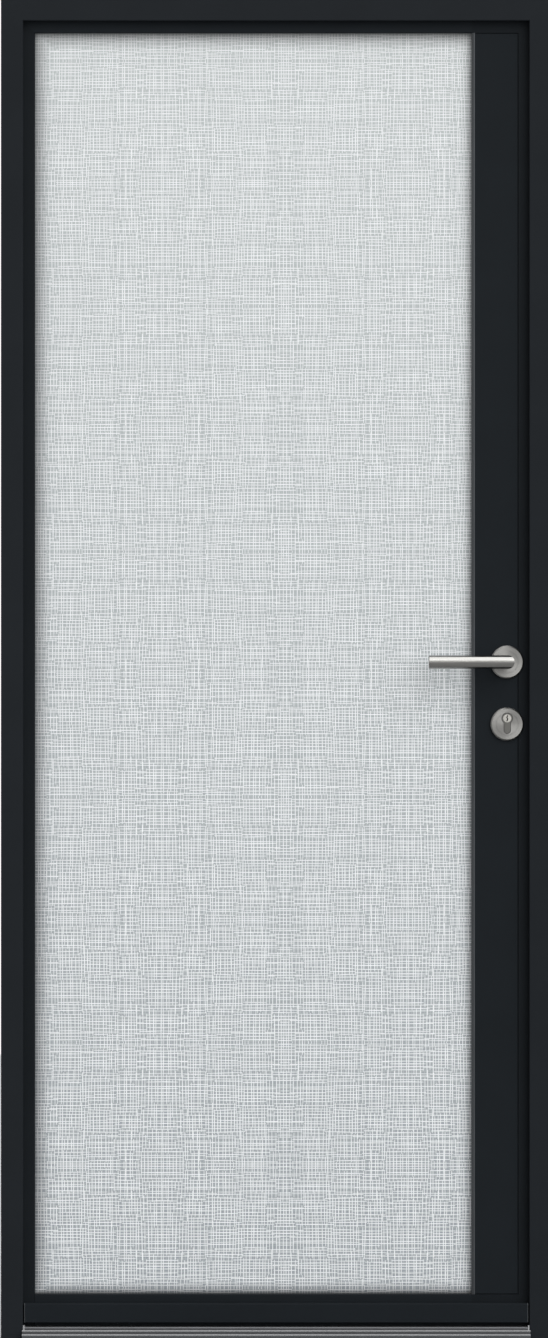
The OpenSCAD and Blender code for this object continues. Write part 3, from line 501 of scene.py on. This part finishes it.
def tile_fields():
    """Each tile that the sight area needs: its corner, and whether it is mirrored along X and Z."""
    return [((TILE_X0 + i * TILE, TILE_Z0 + j * TILE), (i % 2 == 1, j % 2 == 1))
            for i in tile_numbers(sight_x, TILE_X0) for j in tile_numbers(sight_z, TILE_Z0)]


def laid(stroke, upright, corner, mirrored):
    """A stroke of a tile as points of the pane: x, z and half width."""
    placed = []
    for across, along, half in stroke:
        x, z = (across, along) if upright else (along, across)
        if mirrored[0]:
            x = TILE - x
        if mirrored[1]:
            z = TILE - z
        placed.append((corner[0] + x, corner[1] + z, half))
    return placed


def clipped(path, axis, low, high):
    """The part of a path between low and high along one axis, 0 for X and 1 for Z."""
    if path[0][axis] > path[-1][axis]:
        path = path[::-1]
    kept = [p for p in path if low <= p[axis] <= high]
    for a, b in zip(path, path[1:]):
        for limit in (low, high):
            if a[axis] < limit < b[axis]:
                t = (limit - a[axis]) / (b[axis] - a[axis])
                kept.append(tuple(u + (v - u) * t for u, v in zip(a, b)))
    kept.sort(key=lambda p: p[axis])
    return kept


def add_ribbon(points, faces, path, upright, lift, crown):
    """Adds a low-crowned ribbon along a path to the points and faces of a mesh."""
    start = len(points)
    for x, z, half in path:
        for side, rise in RIBBON_SECTION:
            y = pane_y - lift - rise * crown
            points.append((x + side * half, y, z) if upright else (x, y, z + side * half))
    row = len(RIBBON_SECTION)
    for k in range(len(path) - 1):
        for a in range(start + k * row, start + (k + 1) * row - 1):
            face = (a, a + 1, a + row + 1, a + row)
            faces.append(face[::-1] if upright else face)


def thread_mesh(name, strokes, upright, lift, crown, material):
    """Ribbons over the whole sight area, from the strokes of one tile."""
    points, faces = [], []
    sight = (sight_x, sight_z)
    along = 1 if upright else 0
    across = 1 - along
    left, right = sight[across]
    for corner, mirrored in tile_fields():
        low = max(sight[along][0], corner[along])
        high = min(sight[along][1], corner[along] + TILE)
        for stroke in strokes:
            path = clipped(laid(stroke, upright, corner, mirrored), along, low, high)
            inside = all(left + RIM_MARGIN <= p[across] <= right - RIM_MARGIN for p in path)
            if len(path) > 1 and inside:
                add_ribbon(points, faces, path, upright, lift, crown)
    add_piece(name, points, faces, material, "leaf")


rng = random.Random(THREAD_SEED)
for kind, half_range, lift, crown, material in (
        ("threads", BOLD_HALF, BOLD_LIFT, BOLD_CROWN, thread_white),
        ("soft_threads", SOFT_HALF, SOFT_LIFT, SOFT_CROWN, thread_soft)):
    thread_mesh(f"glass_{kind}_upright", draw_strokes(rng, half_range), True, lift, crown, material)
    thread_mesh(f"glass_{kind}_level", draw_strokes(rng, half_range), False, 2 * lift, crown, material)

# Fasteners

SCREW_SIDES = 32
SOCKET = 0.45
SOCKET_FLOOR = 0.9 * SOCKET

# The rings of a screw head from its foot to its socket's floor: share of the radius, rise, six-sided.
HEAD_RINGS = [(1.0, 0.0, False), (1.0, 0.15 * MM, False), (0.8, 0.4 * MM, False),
              (SOCKET, 0.45 * MM, True), (SOCKET_FLOOR, 0.1 * MM, True)]


def six_sided_reach(angle):
    """How far a six-sided outline reaches at an angle, as a share of its corners' reach."""
    sixth = math.tau / 6
    return math.cos(sixth / 2) / math.cos(angle % sixth - sixth / 2)


def screw_heads(name, places, facing, radius, body, look):
    """Crowned screw heads with a six-sided socket, standing on a face that looks along facing."""
    turn = Vector((0, 0, 1)).rotation_difference(Vector(facing)).to_matrix()
    points, faces = [], []
    for place in places:
        start = len(points)
        for share, rise, six_sided in HEAD_RINGS:
            for k in range(SCREW_SIDES):
                angle = math.tau * k / SCREW_SIDES
                reach = share * radius
                if six_sided:
                    reach *= six_sided_reach(angle)
                local = Vector((reach * math.cos(angle), reach * math.sin(angle), rise))
                points.append(tuple(Vector(place) + turn @ local))
        last = start + (len(HEAD_RINGS) - 1) * SCREW_SIDES
        for ring in range(start, last, SCREW_SIDES):
            for k in range(SCREW_SIDES):
                a = ring + k
                b = ring + (k + 1) % SCREW_SIDES
                faces.append((a, b, b + SCREW_SIDES, a + SCREW_SIDES))
        faces.append(tuple(range(last, last + SCREW_SIDES)))
    add_piece(name, points, faces, looks[look], body)


PLATE_SCREW_R = 3.6 * MM
PLATE_END_INSET = 20 * MM
CASE_SCREW_REACH = 90 * MM
BOLT_SCREW_REACH = 45 * MM
face_low, face_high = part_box("lock_faceplate")
lever_z = middle("outer_lever_rose").z
plug_z = middle("cylinder_plugs").z
lock_y = middle("lock_faceplate").y
plate_screw_z = [face_low.z + PLATE_END_INSET, face_high.z - PLATE_END_INSET, plug_z,
                 lever_z + CASE_SCREW_REACH, plug_z - CASE_SCREW_REACH,
                 middle("upper_bolt").z - BOLT_SCREW_REACH, middle("lower_bolt").z + BOLT_SCREW_REACH]
screw_heads("faceplate_screws", [(face_high.x, lock_y, z) for z in plate_screw_z],
            (1, 0, 0), PLATE_SCREW_R, "leaf", "stainless")

KEEP_SCREW_INSET = 7 * MM
keep_screws = []
for keep in ("strike_plate", "upper_keep", "lower_keep"):
    low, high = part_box(keep)
    for z in (low.z + KEEP_SCREW_INSET, high.z - KEEP_SCREW_INSET):
        keep_screws.append((low.x, lock_y, z))
screw_heads("keep_screws", keep_screws, (-1, 0, 0), PLATE_SCREW_R, "frame", "zinc_steel")

HINGE_SCREW_R = 3.4 * MM
HINGE_SCREW_RISE = 14 * MM
HINGE_SCREW_INSET = 6 * MM
HINGE_PLATE = 4 * MM
frame_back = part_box("head")[1].y
leaf_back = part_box("hinge_stile")[1].y
flange_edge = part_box("hinge_stile")[0].x
frame_screws, leaf_screws = [], []
for place in ("top", "middle", "bottom"):
    frame_half_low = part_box(f"{place}_hinge_frame_half")[0]
    leaf_half_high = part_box(f"{place}_hinge_leaf_half")[1]
    pin_z = middle(f"{place}_hinge_pin").z
    for z in (pin_z - HINGE_SCREW_RISE, pin_z + HINGE_SCREW_RISE):
        frame_screws.append(((frame_half_low.x + flange_edge) / 2, frame_back + HINGE_PLATE, z))
        leaf_screws.append((leaf_half_high.x - HINGE_SCREW_INSET, leaf_back + HINGE_PLATE, z))
screw_heads("hinge_frame_screws", frame_screws, (0, 1, 0), HINGE_SCREW_R, "frame", "anthracite_paint")
screw_heads("hinge_leaf_screws", leaf_screws, (0, 1, 0), HINGE_SCREW_R, "leaf", "anthracite_paint")

# Lock cylinder and weather bar details


def face_outwards(piece):
    """Turns every face of a closed piece outwards."""
    shell = bmesh.new()
    shell.from_mesh(piece.data)
    bmesh.ops.recalc_face_normals(shell, faces=shell.faces)
    shell.to_mesh(piece.data)
    shell.free()


def prism(name, near, far, material, body):
    """A closed bar between two outlines of the same number of points."""
    n = len(near)
    faces = [tuple(range(n)), tuple(range(n, 2 * n))]
    for k in range(n):
        after = (k + 1) % n
        faces.append((k, after, after + n, k + n))
    face_outwards(add_piece(name, near + far, faces, material, body))


TAIL_R = 5 * MM
GAP_SHADE_PLAY = 0.05 * MM
GAP_SHADE_W = 0.7 * MM
GAP_SHADE_DROP = 0.4 * MM
ARC_STEPS = 24

body_low, body_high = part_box("cylinder_body")
head_r = (body_high.x - body_low.x) / 2
plug_x = middle("cylinder_body").x


def profile_path(grow):
    """The keyhole outline of the cylinder, grown, as (x, z) about the plug's axis."""
    head, tail = head_r + grow, TAIL_R + grow
    tail_z = body_low.z + TAIL_R - plug_z
    turn = math.asin(tail / head)
    path = []
    for k in range(ARC_STEPS + 1):
        angle = -math.pi / 2 + turn + k / ARC_STEPS * (math.tau - 2 * turn)
        path.append((head * math.cos(angle), head * math.sin(angle)))
    for k in range(ARC_STEPS + 1):
        angle = math.pi + k / ARC_STEPS * math.pi
        path.append((tail * math.cos(angle), tail_z + tail * math.sin(angle)))
    return path


def cylinder_gap_shade(name, panel_y, rose_y):
    """A near-black ring in the gap between the cylinder and its rose: painted shade, standing for the
    shadow in that gap.
    """
    out = math.copysign(1, rose_y - panel_y)
    inner, outer = profile_path(GAP_SHADE_PLAY), profile_path(GAP_SHADE_PLAY + GAP_SHADE_W)
    n = len(inner)
    points = [(plug_x + x, y, plug_z + z) for y in (panel_y, rose_y - out * GAP_SHADE_DROP)
              for path in (inner, outer) for x, z in path]
    inner_foot, outer_foot, inner_top, outer_top = 0, n, 2 * n, 3 * n
    section = [inner_foot, outer_foot, outer_top, inner_top]
    faces = []
    for k in range(n):
        after = (k + 1) % n
        for corner, next_corner in zip(section, section[1:] + section[:1]):
            faces.append((corner + k, corner + after, next_corner + after, next_corner + k))
    face_outwards(add_piece(name, points, faces, looks["seal_rubber"], "leaf"))


# Painted shade in the gaps around the cylinder, on both faces of the door.
cylinder_gap_shade("outer_cylinder_liner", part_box("outer_lock_panel")[0].y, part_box("outer_key_rose")[0].y)
cylinder_gap_shade("inner_cylinder_liner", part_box("inner_lock_panel")[1].y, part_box("inner_key_rose")[1].y)

# The inside of the keyway: wards, coloured near black as painted shade of the deep keyway. Its bends are
# in millimetres from the plug's axis: across and up.
KEYWAY_BENDS = [(0.6, 4.4), (-0.8, 1.6), (0.9, -1.2), (-0.6, -4.2)]
WARD_HALF = 0.85 * MM
WARD_DEPTH = 0.5 * MM
WARD_T = 1 * MM
ward_outline = [(plug_x + x * MM - WARD_HALF, plug_z + z * MM) for x, z in KEYWAY_BENDS[::-1]]
ward_outline += [(plug_x + x * MM + WARD_HALF, plug_z + z * MM) for x, z in KEYWAY_BENDS]
plug_low, plug_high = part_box("cylinder_plugs")
shaded_ward_brass = brushed_metal("shaded_ward_brass", (0.012, 0.011, 0.01, 1), 0.5, ALONG_Z)
for side, face_y, inward in (("outer", plug_low.y, 1), ("inner", plug_high.y, -1)):
    near_y = face_y + inward * WARD_DEPTH
    far_y = near_y + inward * WARD_T
    prism(f"{side}_keyway_wards", [(x, near_y, z) for x, z in ward_outline],
          [(x, far_y, z) for x, z in ward_outline], shaded_ward_brass, "cylinder_core")

# Thin plates that close the weather bar's ends.
BAR_END_T = 0.7 * MM
BAR_BEVEL = 2 * MM
bar_low, bar_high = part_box("weather_bar")
bar_outline = [(bar_low.y, bar_low.z), (bar_high.y, bar_low.z), (bar_high.y, bar_high.z),
               (bar_low.y + BAR_BEVEL, bar_high.z), (bar_low.y, bar_high.z - BAR_BEVEL)]
for side, near_x, outward in (("hinge", bar_low.x, -1), ("lock", bar_high.x, 1)):
    far_x = near_x + outward * BAR_END_T
    prism(f"weather_bar_{side}_end", [(near_x, y, z) for y, z in bar_outline],
          [(far_x, y, z) for y, z in bar_outline], own_looks["glass_edge_trim"], "leaf")

# Stage, light and camera

FLOOR_HALF = 12.0
FLOOR_DROP = 0.5 * MM


def floor_material():
    """Pale, even floor paint."""
    shader = Shader("floor_paint")
    cloud = shader.noise(scale=1.5)
    shader.colour(shader.tint(cloud, WHITE, dark=0.53, light=0.56))
    shader.roughness(cloud, low=0.7, high=0.8)
    return shader.material


floor_mesh = bpy.data.meshes.new("floor")
floor_mesh.from_pydata([(x * FLOOR_HALF, y * FLOOR_HALF, -FLOOR_DROP)
                        for x, y in ((-1, -1), (1, -1), (1, 1), (-1, 1))], [], [(0, 1, 2, 3)])
floor_mesh.materials.append(floor_material())
floor = bpy.data.objects.new("floor", floor_mesh)
scene.collection.objects.link(floor)

# The surroundings are white for the camera, in reflections and through glass, and light the rest less.
AMBIENT = 0.5
world = bpy.data.worlds.new("studio")
world.use_nodes = True
scene.world = world
tree = world.node_tree
rays = tree.nodes.new("ShaderNodeLightPath")
seen = rays.outputs["Is Camera Ray"]
for kind in ("Is Glossy Ray", "Is Transmission Ray"):
    larger = tree.nodes.new("ShaderNodeMath")
    larger.operation = "MAXIMUM"
    tree.links.new(seen, larger.inputs[0])
    tree.links.new(rays.outputs[kind], larger.inputs[1])
    seen = larger.outputs[0]
level = tree.nodes.new("ShaderNodeMapRange")
level.inputs["To Min"].default_value = AMBIENT
level.inputs["To Max"].default_value = 1.0
tree.links.new(seen, level.inputs["Value"])
background = tree.nodes["Background"]
background.inputs["Color"].default_value = WHITE
tree.links.new(level.outputs["Result"], background.inputs["Strength"])

AIM = Vector((0, 0, 1.1))


def hung(lamp, place):
    """A lamp held at a place and aimed at the door."""
    holder = bpy.data.objects.new(lamp.name, lamp)
    holder.location = place
    holder.rotation_euler = (AIM - Vector(place)).to_track_quat("-Z", "Y").to_euler()
    scene.collection.objects.link(holder)
    return holder


def sun(name, energy, degrees, place):
    """A soft sun, as wide as an angle in degrees."""
    lamp = bpy.data.lights.new(name, "SUN")
    lamp.energy = energy
    lamp.angle = math.radians(degrees)
    hung(lamp, place)


sun("key", energy=2.05, degrees=56, place=(5.0, -8.0, 5.5))
sun("back_fill", energy=0.9, degrees=60, place=(-3.0, 8.0, 5.0))

# A large card above and in front of the door, which gives sheen but lights no matt surface.
CARD_WIDTH = 5.0
CARD_DEPTH = 5.2
CARD_WATTS = 178
CARD_PLACE = (0.3, -1.67, 5.1)
card = bpy.data.lights.new("sheen_card", "AREA")
card.shape = "RECTANGLE"
card.size = CARD_WIDTH
card.size_y = CARD_DEPTH
card.energy = CARD_WATTS
hung(card, CARD_PLACE).visible_diffuse = False

# The camera looks square on, and its view is the photograph's: its middle and its height on the door.
PHOTO_MIDDLE = Vector((-3.6 * MM, 0, 1103.7 * MM))
PHOTO_HEIGHT = 2187.6 * MM
CAMERA_REACH = 16.0
CAMERA_CLIP = 100.0
SENSOR = 36.0
camera_data = bpy.data.cameras.new("camera")
camera_data.sensor_width = SENSOR
camera_data.lens = SENSOR * CAMERA_REACH / PHOTO_HEIGHT
camera_data.clip_end = CAMERA_CLIP
camera = bpy.data.objects.new("camera", camera_data)
camera.location = PHOTO_MIDDLE + Vector((0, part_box("head")[0].y - CAMERA_REACH, 0))
camera.rotation_euler = (math.pi / 2, 0, 0)
scene.collection.objects.link(camera)
scene.camera = camera
scene.view_settings.view_transform = "Standard"
